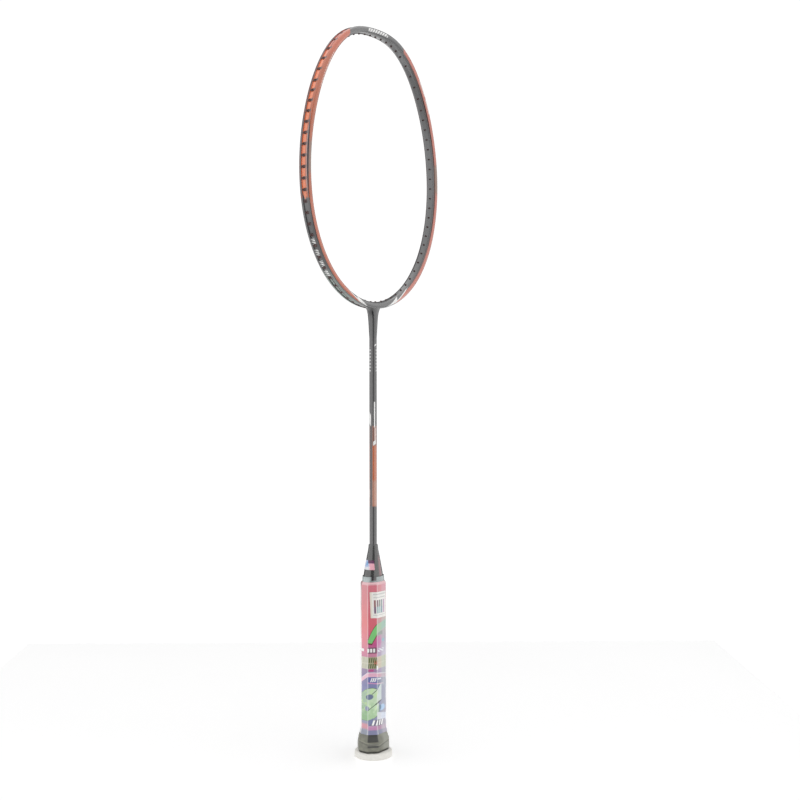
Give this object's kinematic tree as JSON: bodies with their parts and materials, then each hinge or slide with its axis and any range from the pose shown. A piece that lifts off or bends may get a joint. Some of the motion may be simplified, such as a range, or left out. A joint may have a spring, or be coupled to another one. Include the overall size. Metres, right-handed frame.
{
  "type": "badminton racket",
  "caption": "Unstrung badminton racket: oval grooved carbon head with string grommets, T joint, slim round shaft, cone and eight-sided handle with a film-wrapped grip and flared butt.",
  "frame": {"origin": "centre of the butt's flat bottom face", "axes": "+Z along the shaft from the butt to the top of the head, X across the head in the racket's plane, Y through the frame's thickness with the front of the head facing -Y"},
  "size_m": [0.1998, 0.0262, 0.675],
  "materials": {
    "frame_lacquer": "satin lacquer over carbon fibre, dark grey with orange and white flashes",
    "shaft_lacquer": "gloss lacquer over carbon fibre, dark grey with an orange stretch",
    "t_joint_composite": "bare moulded composite",
    "cone_plastic": "high gloss",
    "cone_sticker_print": "printed film sticker",
    "handle_wood": "bare sanded wood",
    "butt_cap_plastic": "moulded plastic",
    "grip_polyurethane": "embossed tacky polyurethane wrap",
    "film_print": "thin shrunk film, printed with a pink, violet and green gradient",
    "label_print": "printed label",
    "grommet_nylon": "moulded nylon"
  },
  "bodies": {
    "root": {"head_frame": "frame_lacquer", "shaft": "shaft_lacquer", "t_joint": "t_joint_composite", "cone": "cone_plastic", "cone_sticker": "cone_sticker_print", "handle_core": "handle_wood", "butt_cap": "butt_cap_plastic", "grip": "grip_polyurethane", "film_sleeve": "film_print", "film_label": "label_print", "grommet_left_01": "grommet_nylon", "grommet_left_02": "grommet_nylon", "grommet_left_03": "grommet_nylon", "grommet_left_04": "grommet_nylon", "grommet_left_05": "grommet_nylon", "grommet_left_06": "grommet_nylon", "grommet_left_07": "grommet_nylon", "grommet_left_08": "grommet_nylon", "grommet_left_09": "grommet_nylon", "grommet_left_10": "grommet_nylon", "grommet_left_11": "grommet_nylon", "grommet_left_12": "grommet_nylon", "grommet_left_13": "grommet_nylon", "grommet_left_14": "grommet_nylon", "grommet_left_15": "grommet_nylon", "grommet_left_16": "grommet_nylon", "grommet_left_17": "grommet_nylon", "grommet_left_18": "grommet_nylon", "grommet_left_19": "grommet_nylon", "grommet_left_20": "grommet_nylon", "grommet_right_01": "grommet_nylon", "grommet_right_02": "grommet_nylon", "grommet_right_03": "grommet_nylon", "grommet_right_04": "grommet_nylon", "grommet_right_05": "grommet_nylon", "grommet_right_06": "grommet_nylon", "grommet_right_07": "grommet_nylon", "grommet_right_08": "grommet_nylon", "grommet_right_09": "grommet_nylon", "grommet_right_10": "grommet_nylon", "grommet_right_11": "grommet_nylon", "grommet_right_12": "grommet_nylon", "grommet_right_13": "grommet_nylon", "grommet_right_14": "grommet_nylon", "grommet_right_15": "grommet_nylon", "grommet_right_16": "grommet_nylon", "grommet_right_17": "grommet_nylon", "grommet_right_18": "grommet_nylon", "grommet_right_19": "grommet_nylon", "grommet_right_20": "grommet_nylon", "grommet_strip_top_left": "grommet_nylon", "grommet_strip_top_right": "grommet_nylon", "grommet_strip_throat_left": "grommet_nylon", "grommet_strip_throat_right": "grommet_nylon"}
  },
  "joints": []
}
